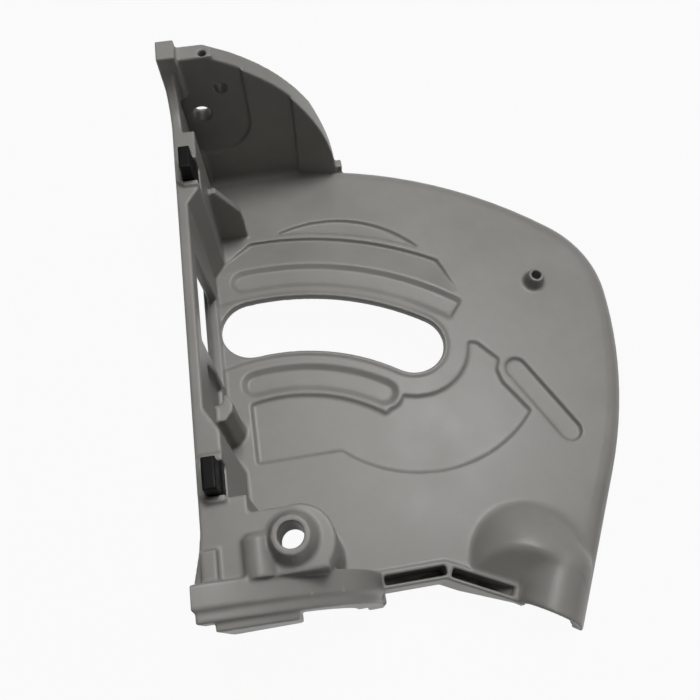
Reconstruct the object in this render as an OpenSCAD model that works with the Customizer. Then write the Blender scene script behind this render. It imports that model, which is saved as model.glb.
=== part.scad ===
// Blade guard housing of a plunge-cut circular saw.
// It lies on the rim of its blade chamber, motor side up.
// The origin is the mouth of the arm bore, about which the saw turns; the base plate side is -x, the front is +y.
// Heights in the modules are counted from the rest plane at the chamber rim.

/* [Plate] */
// Height of the motor-side face above the chamber rim
plate_top = 22; // [18:0.5:28]
// Thickness of the flat plate
plate_t = 3.5; // [3:0.1:5]
// Thickness of the rim round the blade chamber
rim_t = 3.5; // [3:0.1:5]
// Radius of the rolled edge between plate and rim
roll_r = 7; // [5:0.5:9]

/* [Outline] */
// Radius of the front edge
front_r = 201; // [198:0.5:204]
// Distance of the front edge's centre behind the arm bore
front_back = 12.3; // [11:0.1:14]
// Radius of the upper edge, on the side away from the base
crown_r = 194; // [190:0.5:196]
// Centre of the upper edge, x
crown_x = -41.2; // [-43:0.1:-39]
// Centre of the upper edge, y
crown_y = 107.8; // [105:0.1:110]
// Radius of the corner between front and upper edge
corner_r = 48.5; // [40:0.5:56]
// Length of the straight edge beside the dust outlet
side_l = 64.2; // [62:0.2:66]
// Place of the base side's edge, x
base_x = -30; // [-31:0.1:-29]

/* [Arm travel] */
// Radius from the arm bore to the saw spindle
travel_r = 101.5; // [100:0.1:103]
// Half width of the spindle's opening
slot_r = 13.5; // [12:0.1:14]
// Angle of the spindle with the saw raised
raised_angle = 54.4; // [54:0.1:58]
// Angle of the spindle at full depth
plunged_angle = 95.5; // [92:0.1:96]
// Width of the raised lip round the opening
lip_w = 1.6; // [1:0.1:2]
// Height of that lip
lip_h = 0.7; // [0.4:0.1:1]

/* [Recesses] */
// Depth of the large recess
shallow_d = 1.3; // [0.5:0.1:1.6]
// Depth of the hollows in front of the front trough at their deep side
hollow_d = 1.7; // [0.8:0.1:1.8]
// Depth of the two bent troughs
trough_d = 1.6; // [1:0.1:2]
// Slope width of the troughs' walls
trough_s = 2.2; // [1.2:0.1:2.6]
// Inner radius of the front trough
front_trough_r = 120.3; // [119.5:0.1:122]
// Width of the front trough
front_trough_w = 12; // [10:0.1:12.4]
// Inner radius of the rear trough
rear_trough_r = 69.8; // [69.4:0.1:71]
// Width of the rear trough
rear_trough_w = 12; // [10:0.1:12.4]
// Outer radius of the field round the front trough
field_r = 146.2; // [144:0.1:147]
// Radius of the hollow side of the crescent
crescent_r = 149.2; // [148.5:0.1:151]
// Radius of the round side of the crescent
crescent_top_r = 55.6; // [55:0.1:57]
// Radius of the large recess's hollow side
sweep_r = 67.7; // [67:0.1:69]
// Inner radius of the large recess round the raised spindle
hub_r = 24; // [22:0.1:26]
// Outer radius of the large recess round the raised spindle
fan_r = 57; // [54:0.1:58]
// Half width of the straight slot recess
groove_r = 4.6; // [4:0.1:5]

/* [Base wall] */
// Height of the base wall over the plate
wall_h = 56.4; // [54:0.2:60]
// Place of the base wall's outer face, x
wall_x = -27.6; // [-28.5:0.1:-27]
// Thickness of the base wall
wall_t = 4; // [3.5:0.1:5]
// Thickness of the base wall at the two buffers
pocket_wall = 8.8; // [8.5:0.1:9.5]
// Height of the window beside the spindle's opening
window_h = 48; // [40:0.5:50]
// Depth of the pocket in the base wall
pocket_d = 2.2; // [1:0.1:2.6]
// Height of the gusset behind the front buffer
gusset_h = 34.7; // [30:0.5:40]
// Height of the post on the base wall
post_h = 32; // [28:0.5:36]

/* [Front wall] */
// Place of the front wall's inner face, y
front_y = 183.2; // [182:0.1:184]
// Thickness of the front wall
front_t = 10; // [9:0.1:11]
// Depth of the field on the inner face
front_sink = 1.5; // [1:0.1:2]
// Depth of the round-cornered field in it
pad_sink = 1.2; // [0.8:0.1:2]
// Radius of the front bevel arc
front_arc = 81.4; // [80:0.1:83]
// Bevel axis, x
bevel_x = -40.9; // [-42:0.1:-40]
// Bevel axis under the motor-side face
bevel_drop = 2.6; // [2:0.1:4]
// Bore for the clamp bolt of the front arc
clamp_d = 8; // [7:0.1:8]
// Tapping bore beside it
tap_d = 5; // [4.2:0.1:5]
// Tapping bore in the pointer's pad
pointer_d = 3.3; // [2.5:0.1:3.3]
// Depth of the pointer's bore
pointer_l = 10; // [8:0.5:14]
// Radius of the fillet at the wall's foot
foot_r = 3.5; // [2:0.5:5]

/* [Rear wall] */
// Place of the rear wall's inner face, y
rear_y = -9.2; // [-10:0.1:-9]
// Thickness of the rear wall
rear_t = 7.4; // [7:0.1:8]
// Radius of the rear bevel arc
rear_arc = 66.5; // [64:0.1:68]
// Centre of the rear bevel arc, x
rear_arc_x = -38.7; // [-41:0.1:-38]
// Reach of the flange behind the rear wall
step_t = 3.6; // [3:0.1:4.5]
// Reach of the clamp pad behind that flange
clamp_pad_t = 2.6; // [2:0.1:3.5]

/* [Arm bore] */
// Diameter of the arm pin's bore
pin_d = 8; // [6:0.1:8]
// Outer diameter of the boss at its face
boss_d = 11.8; // [11.5:0.1:13]
// Outer diameter of the boss at its foot
boss_foot_d = 16.4; // [16:0.1:18]
// Height of the boss over the platform
boss_h = 6.9; // [5:0.1:8]
// Length of the arm pin's bore
pin_l = 16.5; // [14:0.5:20]
// Radius of the platform's round end
platform_r = 11.3; // [11:0.1:12.5]

/* [Stop boss] */
// Place of the small boss, x
stop_x = 119.6; // [118:0.1:121]
// Place of the small boss, y
stop_y = 104.6; // [103:0.1:106]
// Height of the small boss
stop_h = 6; // [4:0.1:7]
// Bore of the small boss
stop_d = 4.2; // [3:0.1:4.5]
// Outer diameter of the small boss at its face
stop_od = 6.8; // [6.6:0.1:8]
// Outer diameter of the small boss at its foot
stop_foot_d = 9.6; // [9:0.1:11]

/* [Dust outlet] */
// Angle of the outlet from straight back, towards the base
outlet_angle = 28.6; // [28:0.2:29.4]
// Angle of the outlet's end edge from the x direction
end_angle = 32; // [30:0.5:34]
// Length of the outlet's end edge
end_l = 26.4; // [25:0.2:28]
// Outer radius of the outlet
outlet_r = 12.5; // [12:0.1:13]
// Wall of the outlet
outlet_t = 3; // [2.5:0.1:3.5]
// Height of the outlet over the plate
outlet_h = 9.5; // [8:0.5:10]
// Straight length of the outlet
outlet_l = 19; // [18:0.5:22]
// Place of the dome's centre, x
dome_x = 84.5; // [83:0.1:86]
// Place of the dome's centre, y
dome_y = -14.5; // [-16:0.1:-13]
// Radius of the dome's foot
dome_r = 22.5; // [21:0.1:23]
// Height of the dome over the plate
dome_h = 11; // [9:0.5:12]

/* [Rear slots] */
// Place of the rear edge, y
bar_y = -15.2; // [-16:0.1:-15]
// Place where the rear edge bends, x
bend_x = 51.5; // [51:0.1:53]
// Thickness of the bars on both sides of the slots
bar_t = 1.5; // [1.2:0.1:2]
// Width of the slots
slit_w = 3.5; // [3:0.1:4]
// Depth of the slots
slit_d = 16; // [10:0.5:17]

/* [Cover screws] */
// Outer diameter of the screw posts in the chamber
screw_od = 8; // [7:0.5:9]
// Tapping bore of the screw posts
screw_d = 3.3; // [2.5:0.1:4]
// Depth of that bore
screw_l = 12; // [8:0.5:16]

/* [Buffers] */
// Length of a rubber buffer along the base wall
buffer_l = 10.4; // [9:0.1:12]
// Width of a rubber buffer
buffer_w = 4.4; // [3.6:0.1:5]
// Height of a rubber buffer over the base wall
buffer_up = 8.6; // [4:0.2:10]
// Depth of a rubber buffer's seat in the base wall
buffer_seat = 6; // [4:0.5:8]
// Start of the front buffer, y
front_buffer_y = 139.4; // [138:0.2:144]
// Start of the rear buffer, y
rear_buffer_y = 16.6; // [16:0.2:20]
// Gap round a buffer in its seat
buffer_gap = 0.2; // [0.1:0.05:0.4]

/* [Hidden] */
$fn = 96;
eps = 0.5;
far = 260;
paint = [0.62, 0.61, 0.58];
wall_in = wall_x + wall_t;
buffer_x = wall_x + 3.2;
crescent_angle = 74.3;
trough_end = 55.8;
recess_x = -13.6;
recess_y = 40.4;
ramp_r = 18;
block_w = 7.3;
block_top = plate_top + 76.5;
pad_top = plate_top + 73;
pad_end_x = -11.8;
pointer_x = -10.7;
corner_rib_x = 22.4;
clamp_x = -16.6;
clamp_z = 43.5;
tap_x = -6.5;
tap_z = 56.4;
platform_x = 1.8;
platform_y = -1;
bolt_x = -10.8;
bolt_r = 4.8;
bolt_end = 1.6;
stop_l = 8;
end_inset = 0.4;
end_step = 0.02;
groove_angle = 64.2;
groove_l = 34;
screw_places = [[22, -1.5], [117.5, 3], [146, 112], [34, 178]];
pocket_x = wall_x + pocket_wall;
front_out = front_y + front_t;
rear_out = rear_y - rear_t;
bevel_z = plate_top - bevel_drop;
wall_top = plate_top + wall_h;
mouth = wall_top + boss_h;
chamber_h = plate_top - plate_t;
land = rear_arc_x + rear_arc - 0.2;
toe = 43.5;
rear_bar = 2 * bar_t + slit_w;
raised = [travel_r * cos(raised_angle), travel_r * sin(raised_angle)];

// Centre of the corner, which touches the front edge and the upper edge
front_c = [0, -front_back];
crown_c = [crown_x, crown_y];
centres = norm(crown_c - front_c);
along = (crown_c - front_c) / centres;
reach_a = front_r - corner_r;
reach_b = crown_r - corner_r;
foot_a = (reach_a * reach_a - reach_b * reach_b + centres * centres) / (2 * centres);
off_a = sqrt(reach_a * reach_a - foot_a * foot_a);
corner_c = front_c + foot_a * along + off_a * [along[1], -along[0]];
front_touch = atan2(corner_c[1] - front_c[1], corner_c[0]);
crown_touch = atan2(corner_c[1] - crown_c[1], corner_c[0] - crown_c[0]);
back_dir = [-sin(outlet_angle), -cos(outlet_angle)];
across = [-cos(outlet_angle), sin(outlet_angle)];
heel = crown_c + crown_r * [cos(outlet_angle), -sin(outlet_angle)] + side_l * back_dir;
spout = heel + end_l * [-cos(end_angle), sin(end_angle)];
outlet_c = spout + 0.46 * (heel - spout);
slope = atan2(bar_y - spout[1], spout[0] - bend_x);
bar_in = [sin(slope), cos(slope)];
end_in = [sin(end_angle), cos(end_angle)];
dome_big = (dome_r * dome_r + dome_h * dome_h) / (2 * dome_h);

// Points of an arc
function arc(c, r, a, b, n) = [for (i = [0:n]) c + r * [cos(a + (b - a) * i / n), sin(a + (b - a) * i / n)]];

// Bent rear edge, drawn in by e
function rear_line(e) = [
    [bend_x + e * tan(slope / 2), bar_y + e], spout + e * [sin(slope), cos(slope)], heel + e * [sin(end_angle), cos(end_angle)]
];

// Outline of the plate, drawn in by d at the rim and running past the bent rear edge that is drawn in by e
function outline(d, e) = concat(
    [[base_x, bar_y + e - 4], heel + d * across + (4 - e) * back_dir],
    arc(crown_c, crown_r - d, -outlet_angle, crown_touch, 12),
    arc(corner_c, corner_r - d, crown_touch, front_touch, 12),
    arc(front_c, front_r - d, front_touch, 98.6, 18)
);

// Body inside the outline with a rolled upper edge
module rolled_body(d, e, top, roll) {
    difference() {
        hull() {
            linear_extrude(top - roll) polygon(outline(d, e));
            for (a = [18:18:90])
                translate([0, 0, top - roll]) linear_extrude(roll * sin(a)) polygon(outline(d + roll * (1 - cos(a)), e));
        }
        translate([0, 0, -far / 2]) linear_extrude(far)
            polygon(concat([[base_x - 1, bar_y + e]], rear_line(e), [heel + [20, e - 20 * tan(end_angle)], [heel[0], -far], [base_x - 1, -far]]));
    }
}

// Part of a ring about the arm bore between two angles
module ring_part(r, w, a, b, z, h) {
    translate([0, 0, z]) rotate(a) rotate_extrude(angle = b - a) translate([r, 0]) square([w, h]);
}

// Round-ended slot about the arm bore between two angles
module bent_slot(r, w, a, b, z, h) {
    ring_part(r, w, a, b, z, h);
    for (t = [a, b])
        rotate(t) translate([r + w / 2, 0, z]) cylinder(d = w - 2 * end_step, h = h - end_step);
}

// Bent trough with sloping walls, cut down from the plate's face; its ends are round, or square at the start
module trough(r, w, a, b, square_start) {
    translate([0, 0, plate_top]) {
        rotate(a) rotate_extrude(angle = b - a) translate([r + w / 2, 0]) {
            trough_half(w / 2, trough_d);
            mirror([1, 0]) trough_half(w / 2, trough_d);
        }
        for (t = square_start ? [b] : [a, b])
            rotate(t) translate([r + w / 2, 0, 0]) rotate_extrude() trough_half(w / 2 - end_step, trough_d - end_step);
    }
}

// Half of a trough's profile
module trough_half(half, d) {
    polygon([[0, -d], [half - trough_s, -d], [half, 0], [half, eps], [0, eps]]);
}

// Shape cut into or raised on the plate's face
module on_face(down, up) {
    translate([0, 0, plate_top - down]) linear_extrude(down + up) children();
}

// Hollow about the arm bore that gets deeper from radius a to radius b
module falling_floor(a, b) {
    translate([0, 0, plate_top]) rotate_extrude()
        polygon([[a, 0], [b, -hollow_d], [b, eps], [a, eps]]);
}

// Hollow field in front of the front trough, with two bevelled corners
module front_field() {
    inner = front_trough_r + front_trough_w + 1;
    intersection() {
        falling_floor(inner, field_r);
        on_face(hollow_d + 1, eps) polygon([
            [-21.8, 127.6], [-22.4, 134], [-6, field_r], [-6, 160],
            [78.2, 160], [78.2, 124.6], [84.2, 107.2], [82, 102], [30, 120]
        ]);
    }
}

// Hollow crescent in front of that field
module crescent() {
    on_face(shallow_d, eps) difference() {
        rotate(crescent_angle) translate([travel_r, 0]) circle(crescent_top_r, $fn = 180);
        circle(crescent_r, $fn = 180);
    }
}

// Point at a radius and angle round the raised spindle
function hub_point(r, a) = raised + r * [cos(a), sin(a)];

// Large recess: a hollow field under the rear trough and a fan round the raised spindle
module large_recess() {
    on_face(shallow_d, eps) difference() {
        union() {
            intersection() {
                circle(sweep_r, $fn = 180);
                translate([recess_x, recess_y]) square([70, 40]);
            }
            intersection() {
                translate(raised) circle(fan_r, $fn = 180);
                polygon([
                    [20, recess_y], [20, 20], [100, 20], hub_point(fan_r + 1, -42), hub_point(41.5, -34.4),
                    hub_point(37.6, -28), hub_point(37.6, -20), hub_point(28, -7), hub_point(25, -6),
                    hub_point(22, -14), raised, [45, 56], [38, 50]
                ]);
            }
        }
        translate(raised) circle(hub_r);
        rotate(trough_end) translate([rear_trough_r + rear_trough_w / 2, 0]) circle(rear_trough_w / 2 + 1.9);
    }
}

// Straight slot recess beside the large recess
module groove() {
    translate([100.6, 64.4, plate_top - trough_d]) rotate(-groove_angle) {
        translate([0, -groove_r, 0]) cube([groove_l, 2 * groove_r, trough_d + eps]);
        for (x = [0, groove_l])
            translate([x, 0, end_step]) cylinder(r = groove_r - end_step, h = trough_d + eps);
    }
}

// Opening that the spindle passes through
module travel_slot() {
    bent_slot(travel_r - slot_r, 2 * slot_r, raised_angle, plunged_angle, -eps, plate_top + 10);
}

// Raised lip round the spindle's opening, which runs on to the base side
module lip() {
    intersection() {
        bent_slot(travel_r - slot_r - lip_w, 2 * (slot_r + lip_w), raised_angle, 112, plate_top - eps, eps + lip_h);
        translate([base_x + 2, 0, 0]) cube([far, far, wall_top]);
    }
}

// Profile drawn in y and z, carried along x
module along_x(x, l) {
    translate([x, 0, 0]) rotate([90, 0, 90]) linear_extrude(l) children();
}

// Profile drawn in x and z, carried back along y from its front side
module along_y(y, l) {
    translate([0, y, 0]) rotate([90, 0, 0]) linear_extrude(l) children();
}

// Upright shape drawn in x and y
module upright(z, h) {
    translate([0, 0, z]) linear_extrude(h) children();
}

// Base wall with its ramp up to the front wall
module base_wall() {
    along_x(wall_x, wall_t) polygon(concat(
        [[rear_out + 1, plate_top - plate_t], [front_y + 1, plate_top - plate_t], [front_y + 1, wall_top + ramp_r]],
        arc([front_y + 0.5 - ramp_r, wall_top + ramp_r], ramp_r, 0, -90, 12),
        [[rear_out + 1, wall_top]]
    ));
    upright(plate_top - 1, wall_h + 1) {
        polygon([[wall_x, 129.5], [wall_in, 129.5], [pocket_x, 136.4], [pocket_x, 165], [wall_x, 165]]);
        polygon([[wall_x, rear_y - 1], [pocket_x, rear_y - 1], [pocket_x, 37.6], [wall_in, 46], [wall_x, 46]]);
        polygon([[wall_x, 6], [wall_x - 0.8, 0], [wall_x - 2.7, rear_y + 1], [wall_x - 2.7, rear_y - 1], [wall_x, rear_y - 1]]);
    }
}

// Window in the base wall beside the spindle's opening
module window() {
    along_x(base_x - 1, 1 + wall_in - base_x + eps)
        polygon([[75, plate_top + 1.5], [118, plate_top + 1.5], [112, plate_top + window_h], [75.5, plate_top + window_h]]);
}

// Pocket in the base wall's inner face between the window and the post
module wall_pocket() {
    along_x(wall_in - pocket_d, pocket_d + eps)
        polygon([[58, plate_top + 9], [71, plate_top + 9], [72.5, plate_top + 22], [68.5, plate_top + 41], [54.5, plate_top + 41]]);
}

// Hooked post on the inner side of the base wall
module post() {
    upright(plate_top - 1, post_h + 1) polygon([
        [wall_in - 1, 49.2], [-20.4, 49.2], [-17.2, 52.8], [-17, 55.8], [-18.2, 58.8],
        [-19.9, 59.7], [-21.4, 55.9], [wall_in - 1, 55.7]
    ]);
}

// Gusset behind the front buffer
module gusset() {
    along_y(153, 3) polygon([
        [wall_in - 1, plate_top - 1], [-6.7, plate_top - 1], [-6.7, plate_top + 12], [-7.3, plate_top + 19.6],
        [-15.6, plate_top + gusset_h], [wall_in - 1, plate_top + gusset_h - 1]
    ]);
}

// Raised frame round a buffer's seat
module seat_frame(y) {
    x = wall_x + 0.4;
    upright(wall_top - 1, 2.2) polygon([
        [x + 3, y - 2.4], [pocket_x, y - 2.4], [pocket_x, y + buffer_l + 3], [x + 2, y + buffer_l + 3], [x, y + buffer_l + 1], [x, y + 0.6]
    ]);
}

// Seat of a rubber buffer, open to the inner side
module seat(y) {
    translate([buffer_x - buffer_gap, y - buffer_gap, wall_top - buffer_seat])
        cube([pocket_x - buffer_x + buffer_gap + eps, buffer_l + 2 * buffer_gap, buffer_seat + 10]);
}

// Front wall with the bevel arc, the pointer's pad and the end block
module front_wall() {
    intersection() {
        upright(0, far) polygon([
            [wall_x, front_y], [corner_rib_x, front_y], [toe, front_y - 3.3], [toe, front_y + 1.5],
            [toe - 3, front_y + 3], [toe - 13, front_out], [wall_x, front_out]
        ]);
        along_y(front_out, 2 * front_t) {
            intersection() {
                translate([bevel_x, bevel_z]) circle(front_arc, $fn = 180);
                translate([wall_x, 0]) square([far, pad_top]);
            }
            translate([wall_x, 0]) square([toe - 3 - wall_x, plate_top]);
        }
    }
    translate([toe - 4, front_y - 2, 0]) cube([4, 4.5, plate_top + 3.5]);
    translate([wall_x - 0.6, front_y, 0]) cube([block_w, front_t, block_top]);
    translate([pad_end_x, front_y + front_t / 2, pad_top - 12]) cylinder(d = front_t, h = 12);
}

// Fields sunk into the front wall's inner face
module front_fields() {
    along_y(front_y + front_sink, front_sink + eps)
        translate([wall_in + 3, plate_top]) square([corner_rib_x - wall_in - 3, far]);
    along_y(front_y + front_sink + pad_sink, pad_sink + front_sink + eps) {
        translate([-14.8, plate_top + 38.5]) circle(18.2);
        translate([wall_in + 3, plate_top + 38.5]) square([-14.8 + 18.2 - wall_in - 3, far]);
        translate([wall_in + 3, plate_top + 20.3]) square([-14.8 - wall_in - 3, 20]);
    }
}

// Fillet at the foot of the front wall
module front_fillet() {
    along_x(wall_in - 1, corner_rib_x - wall_in + 1) polygon(concat(
        [[front_y + front_sink + 1, plate_top - 1], [front_y + front_sink - foot_r, plate_top - 1]],
        arc([front_y + front_sink - foot_r, plate_top + foot_r], foot_r, -90, 0, 8),
        [[front_y + front_sink + 1, plate_top + foot_r]]
    ));
}

// Bore along y through a wall, with its middle at x and z
module bore_y(x, z, d, y, l) {
    translate([x, y, z]) rotate([90, 0, 0]) cylinder(d = d, h = l);
}

// Rear wall with the rear bevel arc, a narrower flange and the clamp pad behind it
module rear_wall() {
    along_y(rear_y, rear_t) rear_profile(0, wall_x - 2.7, land);
    along_y(rear_out + 1, step_t + 1) difference() {
        rear_profile(1, wall_x - 1.8, land + 0.6);
        translate([rear_arc_x, bevel_z]) circle(rear_arc - 11);
        translate([wall_x, 0]) square([land - wall_x - 6, plate_top - bevel_drop]);
    }
    along_y(rear_out + 1, step_t + clamp_pad_t + 1) intersection() {
        rear_profile(2.6, wall_x + 3.2, -1.2);
        translate([wall_x, plate_top + 30]) square([far, far]);
    }
}

// Bevel arc drawn in by d, between two places along x
module rear_profile(d, x0, x1) {
    intersection() {
        union() {
            translate([rear_arc_x, bevel_z]) circle(rear_arc - d, $fn = 180);
            translate([wall_x, 0]) square([land + 0.6 - wall_x, plate_top - d]);
        }
        translate([x0, 0]) square([x1 - x0, far]);
    }
}

// Platform that carries the arm bore, with sloping sides
module platform() {
    intersection() {
        union() {
            translate([platform_x, platform_y, plate_top - 1])
                cylinder(r1 = platform_r + 2.2, r2 = platform_r, h = wall_h + 1);
            along_x(wall_in - 1, platform_x - wall_in + 1)
                polygon([[rear_y - 1, plate_top - 1], [16.4, plate_top - 1], [9.9, wall_top], [rear_y - 1, wall_top]]);
            along_x(wall_in - 1, -12.4 - wall_in + 1)
                polygon([[rear_y - 1, plate_top - 1], [18, plate_top - 1], [15.6, wall_top], [rear_y - 1, wall_top]]);
            translate([platform_x, rear_y - 1, plate_top - 1]) cube([8.4, 8, wall_h + 1]);
        }
        translate([wall_x, rear_y - 1, 0]) cube([far, far, far]);
    }
}

// Hollow under the platform
module platform_core() {
    top = wall_top + boss_h - pin_l;
    translate([platform_x, platform_y, -eps]) cylinder(r1 = platform_r - 0.6, r2 = platform_r - 3.4, h = top + eps);
    along_x(wall_in + 1.5, platform_x - wall_in - 1.5)
        polygon([[rear_y + 3.5, -eps], [14.4, -eps], [12.8, plate_top], [6.8, top], [rear_y + 3.5, top]]);
}

// Arm boss over the platform
module arm_boss() {
    translate([0, 0, wall_top - eps]) cylinder(d = boss_foot_d, h = eps);
    translate([0, 0, wall_top]) cylinder(d1 = boss_foot_d, d2 = boss_d, h = boss_h);
}

// Bolt housing and end pad on the platform
module platform_details() {
    intersection() {
        union() {
            bore_y(bolt_x, wall_top - 1, 2 * bolt_r, bolt_end, bolt_end - rear_y + 1);
            translate([bolt_x, bolt_end + 1.6, wall_top - 1]) rotate([90, 0, 0]) cylinder(r1 = bolt_r - 1.6, r2 = bolt_r, h = 1.6);
        }
        translate([-far / 2, rear_y - 1, wall_top - 3]) cube(far);
    }
    translate([wall_x, rear_y - 1, wall_top - 1]) cube([5, 10.5, 3.2]);
}

// Small boss on the plate
module stop_boss() {
    translate([stop_x, stop_y, plate_top - eps]) cylinder(d = stop_foot_d, h = eps);
    translate([stop_x, stop_y, plate_top]) cylinder(d1 = stop_foot_d, d2 = stop_od, h = stop_h);
}

// Round tube of the dust outlet, drawn in by d for the hollow
module outlet_tube(d) {
    translate([outlet_c[0], outlet_c[1], plate_top + outlet_h - outlet_r]) rotate(-outlet_angle) {
        translate([0, -12, 0]) rotate([-90, 0, 0]) cylinder(r = outlet_r - d, h = outlet_l + 12);
        translate([0, outlet_l, 0]) sphere(outlet_r - d);
    }
}

// Dome over the blade's rear side, drawn in by d for the hollow
module dome(d) {
    translate([dome_x, dome_y, plate_top + dome_h - dome_big]) sphere(dome_big - d);
}

// Bulge above the plate, cut off at the rear bars and just inside the outlet's end
module outlet_bulge() {
    bar_side = rear_bar * bar_in;
    end_side = end_inset * end_in;
    intersection() {
        union() {
            outlet_tube(0);
            dome(0);
        }
        upright(plate_top - 1.5, far) polygon([
            [bend_x, bar_y] + bar_side, spout + bar_side, spout + end_side,
            heel + end_side + [2, -2 * tan(end_angle)], heel + [4, 0] - 70 * back_dir, [bend_x, 40]
        ]);
    }
}

// Hollow under the bulge, open at the outlet's end and clear of the rear bars
module outlet_hollow() {
    wall_side = (rear_bar + outlet_t) * bar_in;
    outlet_tube(outlet_t);
    translate([outlet_c[0], outlet_c[1], -eps]) rotate(-outlet_angle)
        translate([outlet_t - outlet_r + end_inset, -12, 0]) cube([2 * (outlet_r - outlet_t - end_inset), 24, plate_top + outlet_h - outlet_r]);
    intersection() {
        dome(outlet_t);
        upright(chamber_h - 1, far) polygon([
            [bend_x, bar_y] + wall_side, spout + wall_side, heel + 10 * end_in, heel + [30, 0], heel + [30, 80], [bend_x, 40]
        ]);
    }
}

// Slots in the double rear edge, the outer one with a ramp at its end
module rear_slots() {
    translate([28.6, bar_y + bar_t, plate_top - slit_d]) cube([bend_x - 30, slit_w, slit_d + eps]);
    translate([bend_x, bar_y, plate_top]) rotate(-slope) translate([3.5, bar_t + slit_w, 0]) rotate([90, 0, 0])
        linear_extrude(slit_w) polygon([[0, -slit_d], [11, -slit_d], [23, 0], [23, eps], [0, eps]]);
}

// Posts in the chamber that the blade cover screws to
module screw_posts() {
    for (p = screw_places)
        translate([p[0], p[1], 0]) cylinder(d = screw_od, h = chamber_h + 1);
}

// Blade chamber, open towards the rest plane and the base side
module chamber() {
    difference() {
        union() {
            translate([0, 0, -eps]) rolled_body(rim_t, rear_bar, chamber_h + eps, roll_r - rim_t);
            translate([base_x - 1, rear_y, -eps]) cube([toe - rim_t - base_x + 1, front_y - rear_y, chamber_h + eps]);
        }
        screw_posts();
    }
}

module housing() {
    color(paint) translate([0, 0, -mouth]) difference() {
        union() {
            rolled_body(0, 0, plate_top, roll_r);
            difference() {
                union() {
                    base_wall();
                    platform();
                }
                window();
            }
            post();
            gusset();
            difference() {
                front_wall();
                front_fields();
            }
            front_fillet();
            rear_wall();
            arm_boss();
            platform_details();
            stop_boss();
            outlet_bulge();
            lip();
            seat_frame(front_buffer_y);
            seat_frame(rear_buffer_y);
        }
        chamber();
        platform_core();
        outlet_hollow();
        travel_slot();
        trough(front_trough_r, front_trough_w, 49.8, 95, true);
        trough(rear_trough_r, rear_trough_w, trough_end, 98.2, false);
        front_field();
        crescent();
        large_recess();
        groove();
        rear_slots();
        wall_pocket();
        seat(front_buffer_y);
        seat(rear_buffer_y);
        translate([0, 0, wall_top - 20]) cylinder(d = pin_d, h = 20 + boss_h + eps);
        translate([stop_x, stop_y, plate_top + stop_h - stop_l]) cylinder(d = stop_d, h = stop_l + eps);
        bore_y(clamp_x, plate_top + clamp_z, clamp_d, front_out + eps, front_t + 2 * eps);
        bore_y(tap_x, plate_top + tap_z, tap_d, front_out + eps, front_t + 2 * eps);
        translate([pointer_x, front_y + front_t / 2, pad_top - pointer_l]) cylinder(d = pointer_d, h = pointer_l + eps);
        for (p = screw_places)
            translate([p[0], p[1], -eps]) cylinder(d = screw_d, h = screw_l + eps);
    }
}

// Rubber buffer that stops the base plate against the base wall
module buffer(y) {
    color([0.09, 0.09, 0.09]) translate([buffer_x, y, wall_top - buffer_seat - mouth]) {
        cube([pocket_x - buffer_x - 0.6, buffer_l, buffer_seat]);
        translate([0, 0, buffer_seat]) cube([buffer_w, buffer_l, buffer_up]);
    }
}

module front_buffer() {
    buffer(front_buffer_y);
}

module rear_buffer() {
    buffer(rear_buffer_y);
}

housing();
front_buffer();
rear_buffer();
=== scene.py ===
from math import atan2, cos, hypot, radians, sin

import bpy
import numpy as np
from mathutils import Matrix, Vector


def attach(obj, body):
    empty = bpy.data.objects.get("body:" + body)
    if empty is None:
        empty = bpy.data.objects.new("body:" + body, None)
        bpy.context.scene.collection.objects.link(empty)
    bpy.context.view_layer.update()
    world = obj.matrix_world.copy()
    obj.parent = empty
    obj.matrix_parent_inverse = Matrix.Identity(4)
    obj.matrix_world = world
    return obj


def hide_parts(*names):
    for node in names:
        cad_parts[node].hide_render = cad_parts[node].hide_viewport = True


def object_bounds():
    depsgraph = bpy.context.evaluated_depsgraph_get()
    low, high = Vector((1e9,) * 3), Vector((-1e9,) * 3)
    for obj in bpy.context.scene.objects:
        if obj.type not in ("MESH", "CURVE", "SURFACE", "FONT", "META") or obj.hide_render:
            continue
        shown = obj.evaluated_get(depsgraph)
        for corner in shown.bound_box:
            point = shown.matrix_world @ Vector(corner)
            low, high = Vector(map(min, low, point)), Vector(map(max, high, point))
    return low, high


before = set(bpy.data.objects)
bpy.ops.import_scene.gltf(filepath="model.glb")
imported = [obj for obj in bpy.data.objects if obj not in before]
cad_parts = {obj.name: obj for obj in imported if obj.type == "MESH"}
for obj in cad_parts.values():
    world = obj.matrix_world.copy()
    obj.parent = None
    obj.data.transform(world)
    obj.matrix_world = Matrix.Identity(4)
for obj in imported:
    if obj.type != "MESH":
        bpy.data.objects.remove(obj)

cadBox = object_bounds()
print("frame loaded")

# values that several pieces share
shared = {
    "mergeDistance": 0.000002,
    "barSides": 128,
    "colourFrom": 0.35,
    "colourTo": 0.65,
    "roughFrom": 0.3,
    "roughTo": 0.7,
}


def deselectAll():
    bpy.ops.object.select_all(action="DESELECT")


def selectOnly(piece):
    deselectAll()
    piece.select_set(True)
    bpy.context.view_layer.objects.active = piece


def applyModifier(piece, kind, **values):
    # adds one modifier, sets it and applies it
    selectOnly(piece)
    bpy.ops.object.modifier_add(type=kind)
    modifier = piece.modifiers[-1]
    for name, value in values.items():
        setattr(modifier, name, value)
    bpy.ops.object.modifier_apply(modifier=modifier.name)


def copyOfNode(name, node):
    # a piece of its own with the node's mesh, its loose triangles merged
    piece = bpy.data.objects.new(name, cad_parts[node].data.copy())
    piece.data.name = name
    bpy.context.scene.collection.objects.link(piece)
    selectOnly(piece)
    bpy.ops.object.mode_set(mode="EDIT")
    bpy.ops.mesh.select_all(action="SELECT")
    bpy.ops.mesh.remove_doubles(threshold=shared["mergeDistance"])
    bpy.ops.object.mode_set(mode="OBJECT")
    return piece


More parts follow.
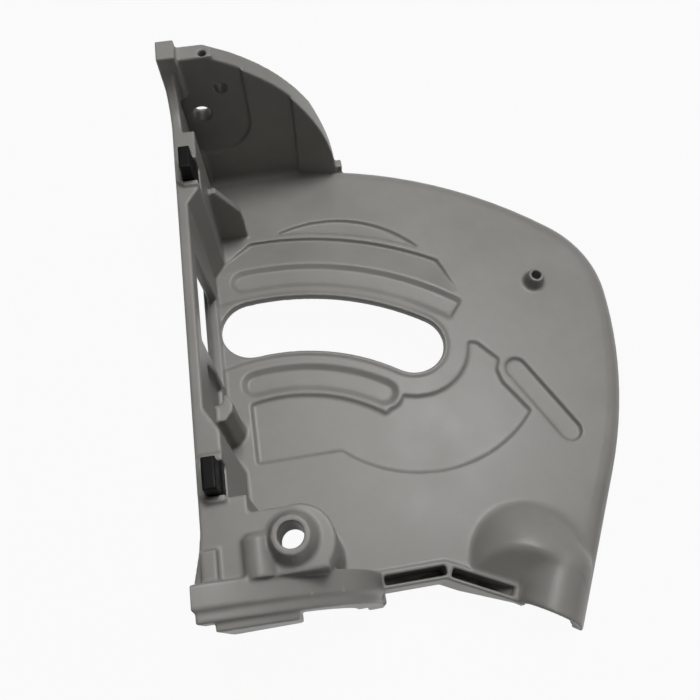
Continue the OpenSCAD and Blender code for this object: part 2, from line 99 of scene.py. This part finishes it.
def remeshEvenly(piece, settings):
    # gives a piece even square faces, which also closes and joins its shells
    applyModifier(piece, "REMESH", mode="VOXEL", voxel_size=settings["grainSize"], adaptivity=0.0)


def roundEdges(piece, settings):
    # rounds all edges and corners of an evenly meshed piece
    applyModifier(piece, "SMOOTH", factor=settings["softFactor"], iterations=settings["softRounds"])


def shadeSmooth(piece):
    selectOnly(piece)
    bpy.ops.object.shade_smooth()


def frameAt(base, place, angle, axis):
    # a frame at a place of the frame base, turned about one of its axes
    return base @ Matrix.Translation(place) @ Matrix.Rotation(angle, 4, axis)


def placeShape(shape, name, base):
    # puts a new primitive in the frame base, with its place in its mesh
    shape.name = name
    shape.matrix_world = base
    bpy.ops.object.transform_apply(location=True, rotation=True, scale=True)
    return shape


def addBox(name, base, low, high):
    # box between two corners of the frame base
    deselectAll()
    bpy.ops.mesh.primitive_cube_add(size=1.0)
    middle = (Vector(low) + Vector(high)) / 2
    size = Vector(high) - Vector(low)
    stretched = base @ Matrix.Translation(middle) @ Matrix.Diagonal((*size, 1.0))
    return placeShape(bpy.context.active_object, name, stretched)


def addBar(name, base, radius, start, end):
    # round bar along the Y axis of the frame base
    deselectAll()
    bpy.ops.mesh.primitive_cylinder_add(vertices=shared["barSides"], radius=radius, depth=end - start)
    lying = frameAt(base, (0.0, (start + end) / 2, 0.0), radians(90), "X")
    return placeShape(bpy.context.active_object, name, lying)


def combine(piece, operation, others):
    # joins other shapes to a piece or cuts them from it, and removes them
    for other in others:
        applyModifier(piece, "BOOLEAN", object=other, operation=operation, solver="MANIFOLD")
        bpy.data.objects.remove(other)


def newMaterial(name):
    material = bpy.data.materials.new(name)
    material.use_nodes = True
    nodes = material.node_tree.nodes
    nodes.clear()
    output = nodes.new("ShaderNodeOutputMaterial")
    shader = nodes.new("ShaderNodeBsdfPrincipled")
    material.node_tree.links.new(shader.outputs["BSDF"], output.inputs["Surface"])
    return material, shader


def setMaterial(piece, material):
    piece.data.materials.clear()
    piece.data.materials.append(material)


def outputOf(tree, kind):
    return next(node for node in tree.nodes if node.type == kind)


def addNoise(tree, scale, detail, roughness):
    # noise in the object's own coordinates
    place = tree.nodes.new("ShaderNodeTexCoord")
    noise = tree.nodes.new("ShaderNodeTexNoise")
    noise.inputs["Scale"].default_value = scale
    noise.inputs["Detail"].default_value = detail
    noise.inputs["Roughness"].default_value = roughness
    tree.links.new(place.outputs["Object"], noise.inputs["Vector"])
    return noise.outputs["Fac"]


def addRange(tree, source, start, end, low=0.0, high=1.0):
    # maps a value between start and end to one between low and high
    mapRange = tree.nodes.new("ShaderNodeMapRange")
    mapRange.inputs["From Min"].default_value = start
    mapRange.inputs["From Max"].default_value = end
    mapRange.inputs["To Min"].default_value = low
    mapRange.inputs["To Max"].default_value = high
    tree.links.new(source, mapRange.inputs["Value"])
    return mapRange.outputs["Result"]


def addColours(tree, noise, darkColour, paleColour):
    # two colours that run into each other with the noise
    ramp = tree.nodes.new("ShaderNodeValToRGB")
    dark, pale = ramp.color_ramp.elements
    dark.position = shared["colourFrom"]
    dark.color = (*darkColour, 1.0)
    pale.position = shared["colourTo"]
    pale.color = (*paleColour, 1.0)
    tree.links.new(noise, ramp.inputs["Fac"])
    return ramp.outputs["Color"]


def addOver(tree, under, amount, colour):
    # lays one colour over another by an amount from 0 to 1
    over = tree.nodes.new("ShaderNodeMix")
    over.data_type = "RGBA"
    over.inputs["B"].default_value = (*colour, 1.0)
    tree.links.new(amount, over.inputs["Factor"])
    tree.links.new(under, over.inputs["A"])
    return over.outputs["Result"]


# painted casting: warm grey with a fine grain, a little cloudy, with a painted highlight paler on its edges
# and painted shade darker in its corners
castPaint = {
    "darkColour": (0.265, 0.257, 0.240),
    "paleColour": (0.300, 0.292, 0.274),
    # the next colour is a painted highlight, laid paler on the convex edges
    "edgeHighlightColour": (0.36, 0.352, 0.335),
    # the next colour is painted shade, laid darker in the corners and creases
    "creaseShadeColour": (0.150, 0.146, 0.136),
    "cloudScale": 38.0,
    "cloudDetail": 4.0,
    "cloudRoughness": 0.6,
    "grainScale": 1900.0,
    "grainDetail": 3.0,
    "grainRoughness": 0.55,
    "grainDepth": 0.00006,
    "grainStrength": 0.35,
    "roughLow": 0.38,
    "roughHigh": 0.48,
    # pointiness where the painted edge highlight fades in, then where the painted corner shade fades in
    "edgeStart": 0.535,
    "edgeEnd": 0.60,
    "creaseShadeStart": 0.475,
    "creaseShadeEnd": 0.40,
    "gloss": 0.5,
}


def makeCastPaint():
    material, shader = newMaterial("castPaint")
    tree = material.node_tree
    cloud = addNoise(tree, castPaint["cloudScale"], castPaint["cloudDetail"], castPaint["cloudRoughness"])
    clouded = addColours(tree, cloud, castPaint["darkColour"], castPaint["paleColour"])

    # pointiness on convex edges lays a paler painted highlight over the cloudy grey
    pointiness = tree.nodes.new("ShaderNodeNewGeometry").outputs["Pointiness"]
    edge = addRange(tree, pointiness, castPaint["edgeStart"], castPaint["edgeEnd"])
    withEdgeHighlight = addOver(tree, clouded, edge, castPaint["edgeHighlightColour"])
    # low pointiness in concave corners and creases lays painted shade over the colour
    creaseShade = addRange(tree, pointiness, castPaint["creaseShadeStart"], castPaint["creaseShadeEnd"])
    withCreaseShade = addOver(tree, withEdgeHighlight, creaseShade, castPaint["creaseShadeColour"])
    tree.links.new(withCreaseShade, shader.inputs["Base Color"])

    rough = addRange(
        tree, cloud, shared["roughFrom"], shared["roughTo"], castPaint["roughLow"], castPaint["roughHigh"]
    )
    tree.links.new(rough, shader.inputs["Roughness"])

    grain = addNoise(tree, castPaint["grainScale"], castPaint["grainDetail"], castPaint["grainRoughness"])
    bump = tree.nodes.new("ShaderNodeBump")
    bump.inputs["Strength"].default_value = castPaint["grainStrength"]
    bump.inputs["Distance"].default_value = castPaint["grainDepth"]
    tree.links.new(grain, bump.inputs["Height"])
    tree.links.new(bump.outputs["Normal"], shader.inputs["Normal"])
    shader.inputs["Specular IOR Level"].default_value = castPaint["gloss"]
    return material


# black rubber, matt, with a faint mottle
rubber = {
    "darkColour": (0.003, 0.003, 0.003),
    "paleColour": (0.007, 0.007, 0.0068),
    "mottleScale": 260.0,
    "mottleDetail": 3.0,
    "mottleRoughness": 0.5,
    "roughLow": 0.42,
    "roughHigh": 0.58,
    "gloss": 0.16,
}


def makeRubber():
    material, shader = newMaterial("blackRubber")
    tree = material.node_tree
    mottle = addNoise(tree, rubber["mottleScale"], rubber["mottleDetail"], rubber["mottleRoughness"])
    colour = addColours(tree, mottle, rubber["darkColour"], rubber["paleColour"])
    tree.links.new(colour, shader.inputs["Base Color"])
    rough = addRange(
        tree, mottle, shared["roughFrom"], shared["roughTo"], rubber["roughLow"], rubber["roughHigh"]
    )
    tree.links.new(rough, shader.inputs["Roughness"])
    shader.inputs["Specular IOR Level"].default_value = rubber["gloss"]
    return material


castMaterial = makeCastPaint()
rubberMaterial = makeRubber()
print("materials made")

# the casting with its edges and corners rounded as they leave the die
casting = {
    "grainSize": 0.00045,
    "softRounds": 4,
    "softFactor": 0.5,
    "triangles": 190000,
    "normalWeight": 60,
}

castHousing = copyOfNode("castHousing", "housing")

# rear edge with its two slots, from where it bends to the outlet
rearEdge = {
    "bend": (0.0515, -0.0152),
    "turn": radians(-26.544),
    "plateHeight": 0.022,
    "barWidth": 0.0015,
    "slotWidth": 0.0035,
    "slotDepth": 0.016,
    "landEnd": -0.0229,
    "straightSlotEnd": 0.0009,
    "slotStart": 0.0017,
    "slotEnd": 0.0127,
    "rampEnd": 0.0257,
    "rampOver": 0.0012,
    "rampHeight": 0.0115,
    "edgeEnd": 0.0268,
    "lap": 0.0001,
    "clearTop": 0.002,
}

# low raised band on the rear edge: its stretch before the bend, at the bend and after it
band = {
    "height": 0.0006,
    "inset": 0.0002,
    "sink": 0.001,
    "lead": 0.003,
    "straightEnd": 0.0005,
    "bendLength": 0.0016,
    "bendSides": (0.0042, 0.0066),
    "slopedStart": -0.0015,
    "slopedOver": 0.0005,
}

# round dust outlet that rises from the plate behind the rear edge
outlet = {
    "middle": (0.0863, -0.0339),
    "heel": (0.0984, -0.0414),
    "turn": radians(-28.6),
    "axisDrop": 0.003,
    "radius": 0.0124,
    "overlap": 0.00015,
    "wall": 0.003,
    "start": -0.02,
    "reach": 0.019,
    "endSegments": 96,
    "endRings": 48,
    "shellEnds": (0.003, 0.018),
    "boreEnds": (-0.001, 0.021),
    "belowLow": (-0.02, -0.01, -0.03),
    "belowHigh": (0.02, 0.03, 0.0015),
}

# slope between the rear edge and the bulge: the space over it and over the edge, and its two walls
bulgeSlope = {
    "lean": radians(40),
    "overLow": (-0.005, 0.0, 0.0),
    "overHigh": (0.060, 0.030, 0.025),
    "barsLow": (0.0265, -0.003, 0.0003),
    "barsEnd": 0.060,
    "barsTop": 0.025,
    "lowWallEnds": (0.012, 0.036),
    "lowWallRise": 0.0074,
    "highWallEnds": (0.018, 0.038),
    "highWallRise": 0.0135,
}

# lower part of the rear wall and of the outlet's end, drawn in towards the mouth
drawIn = {
    "wallStart": 0.008,
    "wallTurn": radians(-40.1),
    "wallLow": (-0.002, -0.003, -0.02),
    "wallHigh": (0.0249, 0.0075, 0.0),
    "cornerFront": -0.003,
    "cornerBottom": -0.023,
    "cornerHigh": (0.031, 0.0075, -0.006),
    "legPlace": (0.0, 0.001, -0.0045),
    "legTurn": radians(-62.8),
    "legLow": (-0.014, -0.004, -0.023),
    "legHigh": (0.004, 0.001, -0.0045),
    "legSlopeLow": (-0.014, 0.0, -0.012),
    "legSlopeHigh": (0.004, 0.021, 0.0),
}

plateTop = cadBox[0][2] + rearEdge["plateHeight"]
slotNear = rearEdge["barWidth"]
slotFar = rearEdge["barWidth"] + rearEdge["slotWidth"]
bandFar = slotFar + rearEdge["barWidth"]
bendFrame = Matrix.Translation((*rearEdge["bend"], plateTop))
slopeFrame = frameAt(bendFrame, (0.0, 0.0, 0.0), rearEdge["turn"], "Z")
leanFrame = frameAt(slopeFrame, (0.0, bandFar, band["height"] / 2), bulgeSlope["lean"], "X")
tubeFrame = frameAt(Matrix(), (*outlet["middle"], plateTop - outlet["axisDrop"]), outlet["turn"], "Z")
heelFrame = frameAt(Matrix(), (*outlet["heel"], plateTop), outlet["turn"], "Z")


def makeTubeSolid():
    # the outlet's round tube with its closed end
    tube = addBar("tubeSolid", tubeFrame, outlet["radius"], outlet["start"], outlet["reach"])
    deselectAll()
    bpy.ops.mesh.primitive_uv_sphere_add(
        segments=outlet["endSegments"], ring_count=outlet["endRings"], radius=outlet["radius"]
    )
    endFrame = tubeFrame @ Matrix.Translation((0.0, outlet["reach"], 0.0))
    end = placeShape(bpy.context.active_object, "tubeEnd", endFrame)
    combine(tube, "UNION", [end])
    return tube


def makeTubeShell():
    # upper half of the tube's wall, where the bulge's hollow had thinned it
    shell = addBar("tubeShell", tubeFrame, outlet["radius"] + outlet["overlap"], *outlet["shellEnds"])
    bore = addBar("tubeBore", tubeFrame, outlet["radius"] - outlet["wall"], *outlet["boreEnds"])
    below = addBox("tubeBelow", tubeFrame, outlet["belowLow"], outlet["belowHigh"])
    combine(shell, "DIFFERENCE", [bore, below])
    return shell


def makeBulgeCuts():
    # what stands over the slope between the rear bars and the bulge, clear of the tube
    overSlope = addBox("overSlope", leanFrame, bulgeSlope["overLow"], bulgeSlope["overHigh"])
    barsHigh = (bulgeSlope["barsEnd"], bandFar + rearEdge["lap"], bulgeSlope["barsTop"])
    overBars = addBox("overBars", slopeFrame, bulgeSlope["barsLow"], barsHigh)
    combine(overSlope, "DIFFERENCE", [makeTubeSolid()])
    combine(overBars, "DIFFERENCE", [makeTubeSolid()])
    return [overSlope, overBars]


def makeSlotCut(name, base, start, end):
    # one slot of the rear edge, open at the top
    low = (start, slotNear, -rearEdge["slotDepth"])
    return addBox(name, base, low, (end, slotFar, rearEdge["clearTop"]))


def makeSlotCuts():
    # straight slot, and the sloped one with the ramp at its end
    straight = makeSlotCut("straightSlot", bendFrame, rearEdge["landEnd"], rearEdge["straightSlotEnd"])
    slopedEnd = rearEdge["slotEnd"] + rearEdge["lap"]
    sloped = makeSlotCut("slopedSlot", slopeFrame, rearEdge["slotStart"], slopedEnd)
    rise = rearEdge["slotDepth"] + 2 * rearEdge["lap"]
    run = rearEdge["rampEnd"] - rearEdge["slotEnd"]
    rampPlace = (rearEdge["slotEnd"], 0.0, -rearEdge["slotDepth"])
    rampFrame = frameAt(slopeFrame, rampPlace, -atan2(rise, run), "Y")
    rampHigh = (hypot(rise, run) + rearEdge["rampOver"], slotFar, rearEdge["rampHeight"])
    ramp = addBox("slotRamp", rampFrame, (0.0, slotNear, 0.0), rampHigh)
    return [straight, sloped, ramp]


def makeLowerCuts():
    # the lower part of the rear wall and of the outlet's end, which draw in towards the mouth
    wallPlace = (drawIn["wallStart"], 0.0, -rearEdge["plateHeight"])
    wallFrame = frameAt(slopeFrame, wallPlace, drawIn["wallTurn"], "Y")
    wallCut = addBox("wallCut", wallFrame, drawIn["wallLow"], drawIn["wallHigh"])
    cornerLow = (rearEdge["edgeEnd"], drawIn["cornerFront"], drawIn["cornerBottom"])
    cornerCut = addBox("cornerCut", slopeFrame, cornerLow, drawIn["cornerHigh"])
    legFrame = frameAt(heelFrame, drawIn["legPlace"], drawIn["legTurn"], "X")
    legCut = addBox("legCut", heelFrame, drawIn["legLow"], drawIn["legHigh"])
    legSlope = addBox("legSlope", legFrame, drawIn["legSlopeLow"], drawIn["legSlopeHigh"])
    return [wallCut, cornerCut, legCut, legSlope]


def makeBand(name, base, start, end, near, far):
    # one stretch of the raised band
    return addBox(name, base, (start, near, -band["sink"]), (end, far, band["height"]))


def makeBands():
    straightStart = rearEdge["landEnd"] - band["lead"]
    slopedEnd = rearEdge["rampEnd"] + band["slopedOver"]
    return [
        makeBand("straightBand", bendFrame, straightStart, band["straightEnd"], band["inset"], bandFar),
        makeBand("bendBand", bendFrame, 0.0, band["bendLength"], *band["bendSides"]),
        makeBand("slopedBand", slopeFrame, band["slopedStart"], slopedEnd, band["inset"], bandFar),
    ]


def makeSlopeWall(name, ends, rise):
    # wall under the slope, where the bulge's hollow comes close to it
    return addBox(name, leanFrame, (ends[0], 0.0, -outlet["wall"]), (ends[1], rise, 0.0))


bands = makeBands()
slopeWalls = [
    makeSlopeWall("lowSlopeWall", bulgeSlope["lowWallEnds"], bulgeSlope["lowWallRise"]),
    makeSlopeWall("highSlopeWall", bulgeSlope["highWallEnds"], bulgeSlope["highWallRise"]),
]
added = makeTubeShell()
combine(added, "UNION", [*bands, *slopeWalls])
cut, *otherCuts = [*makeBulgeCuts(), *makeSlotCuts(), *makeLowerCuts()]
combine(cut, "UNION", otherCuts)
print("rear edge ready,", len(added.data.polygons), "and", len(cut.data.polygons), "faces")

remeshEvenly(castHousing, casting)
combine(castHousing, "UNION", [added])
combine(castHousing, "DIFFERENCE", [cut])
print("rear edge shaped,", len(castHousing.data.polygons), "faces")
remeshEvenly(castHousing, casting)
roundEdges(castHousing, casting)
print("casting softened,", len(castHousing.data.polygons), "faces")

# places where the casting's fillets are wider, as balls or rings about a middle
softening = {
    "factor": 0.9,
    "steps": 10,
    "barFade": 0.003,
    "endFade": 0.001,
    "spots": [
        {
            "name": "plateSteps",
            "middle": (0.055, 0.075, plateTop),
            "ring": 0.0,
            "reach": 0.082,
            "fade": 0.01,
            "rounds": 6,
        },
        {
            "name": "bulgeFoot",
            "middle": (0.0845, -0.0145, plateTop + 0.001),
            "ring": 0.0222,
            "reach": 0.006,
            "fade": 0.004,
            "rounds": 26,
        },
        {
            "name": "bulgeSide",
            "middle": (0.1005, -0.002, plateTop + 0.002),
            "ring": 0.0,
            "reach": 0.018,
            "fade": 0.013,
            "rounds": 60,
        },
        {
            "name": "bulgeSlope",
            "middle": (0.0820, -0.0100, plateTop + 0.009),
            "ring": 0.0,
            "reach": 0.021,
            "fade": 0.009,
            "rounds": 90,
        },
        {
            "name": "tubeFoot",
            "middle": (0.0800, -0.0235, plateTop + 0.002),
            "ring": 0.0,
            "reach": 0.0065,
            "fade": 0.004,
            "rounds": 24,
        },
        {
            "name": "platformFoot",
            "middle": (0.012, 0.006, plateTop + 0.004),
            "ring": 0.0,
            "reach": 0.028,
            "fade": 0.006,
            "rounds": 10,
        },
    ],
}


def shareClearOfBars(points):
    # 0 on the rear bars, rising to 1 beside them and past their end
    fromBend = points[:, :2] - np.array(rearEdge["bend"])
    along = fromBend @ np.array((cos(rearEdge["turn"]), sin(rearEdge["turn"])))
    inward = fromBend @ np.array((-sin(rearEdge["turn"]), cos(rearEdge["turn"])))
    beside = np.clip((inward - bandFar) / softening["barFade"], 0.0, 1.0)
    past = np.clip((along - rearEdge["edgeEnd"]) / softening["endFade"], 0.0, 1.0)
    return np.maximum(beside, past)


def softenSpot(piece, spot):
    # smooths round a ball or ring, most at its middle, and leaves the rear bars alone
    points = np.empty(len(piece.data.vertices) * 3)
    piece.data.vertices.foreach_get("co", points)
    points = points.reshape(-1, 3)
    offset = points - np.array(spot["middle"])
    acrossRing = np.hypot(offset[:, 0], offset[:, 1]) - spot["ring"]
    away = np.hypot(acrossRing, offset[:, 2]) if spot["ring"] > 0 else np.linalg.norm(offset, axis=1)
    share = np.clip((spot["reach"] - away) / spot["fade"], 0.0, 1.0) * shareClearOfBars(points)
    group = piece.vertex_groups.new(name=spot["name"])
    steps = softening["steps"]
    for step in range(1, steps + 1):
        chosen = np.flatnonzero(np.ceil(share * steps) == step)
        group.add(chosen.tolist(), step / steps, "REPLACE")
    applyModifier(
        piece, "SMOOTH", factor=softening["factor"], iterations=spot["rounds"], vertex_group=spot["name"]
    )
    piece.vertex_groups.remove(piece.vertex_groups[spot["name"]])


for spot in softening["spots"]:
    softenSpot(castHousing, spot)
print("fillets widened")

# each even face counts as two triangles
shareKept = casting["triangles"] / (2 * len(castHousing.data.polygons))
applyModifier(castHousing, "DECIMATE", decimate_type="COLLAPSE", ratio=min(1.0, shareKept))
shadeSmooth(castHousing)
applyModifier(castHousing, "WEIGHTED_NORMAL", weight=casting["normalWeight"], keep_sharp=False)
setMaterial(castHousing, castMaterial)
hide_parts("housing")
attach(castHousing, "root")
print("casting thinned,", len(castHousing.data.polygons), "faces")

# rubber buffers, moulded with round edges
buffers = {
    "nodes": ["front_buffer", "rear_buffer"],
    "grainSize": 0.00025,
    "softRounds": 14,
    "softFactor": 0.5,
}

for node in buffers["nodes"]:
    buffer = copyOfNode(node.split("_")[0] + "Buffer", node)
    remeshEvenly(buffer, buffers)
    roundEdges(buffer, buffers)
    shadeSmooth(buffer)
    setMaterial(buffer, rubberMaterial)
    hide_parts(node)
    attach(buffer, "root")
print("buffers rounded")

# pale floor under the rim of the blade chamber, seen white and with the shadow left on it
floor = {
    "size": 6.0,
    "middle": (0.06, 0.08),
    "colour": (0.25, 0.25, 0.248),
    "roughness": 0.9,
    "seenColour": (1.0, 1.0, 1.0),
    "seenShare": 0.95,
}

deselectAll()
bpy.ops.mesh.primitive_plane_add(size=floor["size"], location=(*floor["middle"], cadBox[0][2]))
floorPlane = bpy.context.active_object
floorPlane.name = "paleFloor"
floorMaterial, floorShader = newMaterial("paleFloor")
floorShader.inputs["Base Color"].default_value = (*floor["colour"], 1.0)
floorShader.inputs["Roughness"].default_value = floor["roughness"]
floorTree = floorMaterial.node_tree
lightPath = floorTree.nodes.new("ShaderNodeLightPath")
glow = floorTree.nodes.new("ShaderNodeEmission")
glow.inputs["Color"].default_value = (*floor["seenColour"], 1.0)
shareNode = floorTree.nodes.new("ShaderNodeMath")
shareNode.operation = "MULTIPLY"
shareNode.inputs[1].default_value = floor["seenShare"]
seen = floorTree.nodes.new("ShaderNodeMath")
seen.operation = "MAXIMUM"
mixFloor = floorTree.nodes.new("ShaderNodeMixShader")
floorTree.links.new(lightPath.outputs["Is Camera Ray"], seen.inputs[0])
floorTree.links.new(lightPath.outputs["Is Glossy Ray"], seen.inputs[1])
floorTree.links.new(seen.outputs["Value"], shareNode.inputs[0])
floorTree.links.new(shareNode.outputs["Value"], mixFloor.inputs["Fac"])
floorTree.links.new(floorShader.outputs["BSDF"], mixFloor.inputs[1])
floorTree.links.new(glow.outputs["Emission"], mixFloor.inputs[2])
floorTree.links.new(mixFloor.outputs["Shader"], outputOf(floorTree, "OUTPUT_MATERIAL").inputs["Surface"])
setMaterial(floorPlane, floorMaterial)
print("floor laid")

# soft studio light: a dim tent, a little darker at the front and the right, and large lamps above
studio = {
    "tentRear": 0.62,
    "tentFront": 0.50,
    "tentTowards": (0.45, 0.89, 0.0),
    "tentSpread": 0.8,
    "backdropColour": (0.955, 0.955, 0.955),
    "aim": (0.06, 0.08, -0.05),
    "lamps": [
        {"name": "topLamp", "place": (0.23, 0.36, 1.05), "size": 0.45, "power": 7.7},
        {"name": "frontLamp", "place": (0.15, 1.1, 0.7), "size": 0.8, "power": 1.4},
        {"name": "sideLamp", "place": (1.0, 0.2, 0.7), "size": 0.8, "power": 1.2},
        {"name": "rearLamp", "place": (0.0, -0.9, 1.0), "size": 0.8, "power": 0.7},
    ],
}

world = bpy.data.worlds.new("tent")
bpy.context.scene.world = world
world.use_nodes = True
worldTree = world.node_tree
background = worldTree.nodes["Background"]
direction = worldTree.nodes.new("ShaderNodeTexCoord")
towards = worldTree.nodes.new("ShaderNodeVectorMath")
towards.operation = "DOT_PRODUCT"
towards.inputs[1].default_value = studio["tentTowards"]
worldTree.links.new(direction.outputs["Generated"], towards.inputs[0])
spread = studio["tentSpread"]
strength = addRange(
    worldTree, towards.outputs["Value"], -spread, spread, studio["tentRear"], studio["tentFront"]
)
worldTree.links.new(strength, background.inputs["Strength"])

# the camera sees a white backdrop beyond the floor, and the light stays the tent's
backdrop = worldTree.nodes.new("ShaderNodeBackground")
backdrop.inputs["Color"].default_value = (*studio["backdropColour"], 1.0)
worldPath = worldTree.nodes.new("ShaderNodeLightPath")
mixWorld = worldTree.nodes.new("ShaderNodeMixShader")
worldTree.links.new(worldPath.outputs["Is Camera Ray"], mixWorld.inputs["Fac"])
worldTree.links.new(background.outputs["Background"], mixWorld.inputs[1])
worldTree.links.new(backdrop.outputs["Background"], mixWorld.inputs[2])
worldTree.links.new(mixWorld.outputs["Shader"], outputOf(worldTree, "OUTPUT_WORLD").inputs["Surface"])

for lamp in studio["lamps"]:
    deselectAll()
    bpy.ops.object.light_add(type="AREA", location=lamp["place"])
    light = bpy.context.active_object
    light.name = lamp["name"]
    light.data.shape = "DISK"
    light.data.size = lamp["size"]
    light.data.energy = lamp["power"]
    toAim = Vector(studio["aim"]) - Vector(lamp["place"])
    light.rotation_euler = toAim.to_track_quat("-Z", "Y").to_euler()
print("lamps set")

# camera at the photograph's place
camera = {
    "lens": 33.974,
    "sensor": 36.0,
    "place": (0.012590, -0.033599, 0.198376),
    "pitch": 0.4228,
    "yaw": -0.0654,
    "roll": -0.1502,
    "clipStart": 0.01,
    "clipEnd": 20.0,
}

deselectAll()
bpy.ops.object.camera_add(location=camera["place"])
photoCamera = bpy.context.active_object
photoCamera.name = "photoCamera"
photoCamera.data.lens = camera["lens"]
photoCamera.data.sensor_width = camera["sensor"]
photoCamera.data.clip_start = camera["clipStart"]
photoCamera.data.clip_end = camera["clipEnd"]
pitch = Matrix.Rotation(camera["pitch"], 4, "X")
yaw = Matrix.Rotation(camera["yaw"], 4, "Y")
roll = Matrix.Rotation(camera["roll"], 4, "Z")
photoCamera.matrix_world = Matrix.Translation(camera["place"]) @ (pitch @ yaw @ roll)
bpy.context.scene.camera = photoCamera
bpy.context.scene.view_settings.view_transform = "Standard"
print("camera placed")

bpy.context.view_layer.update()
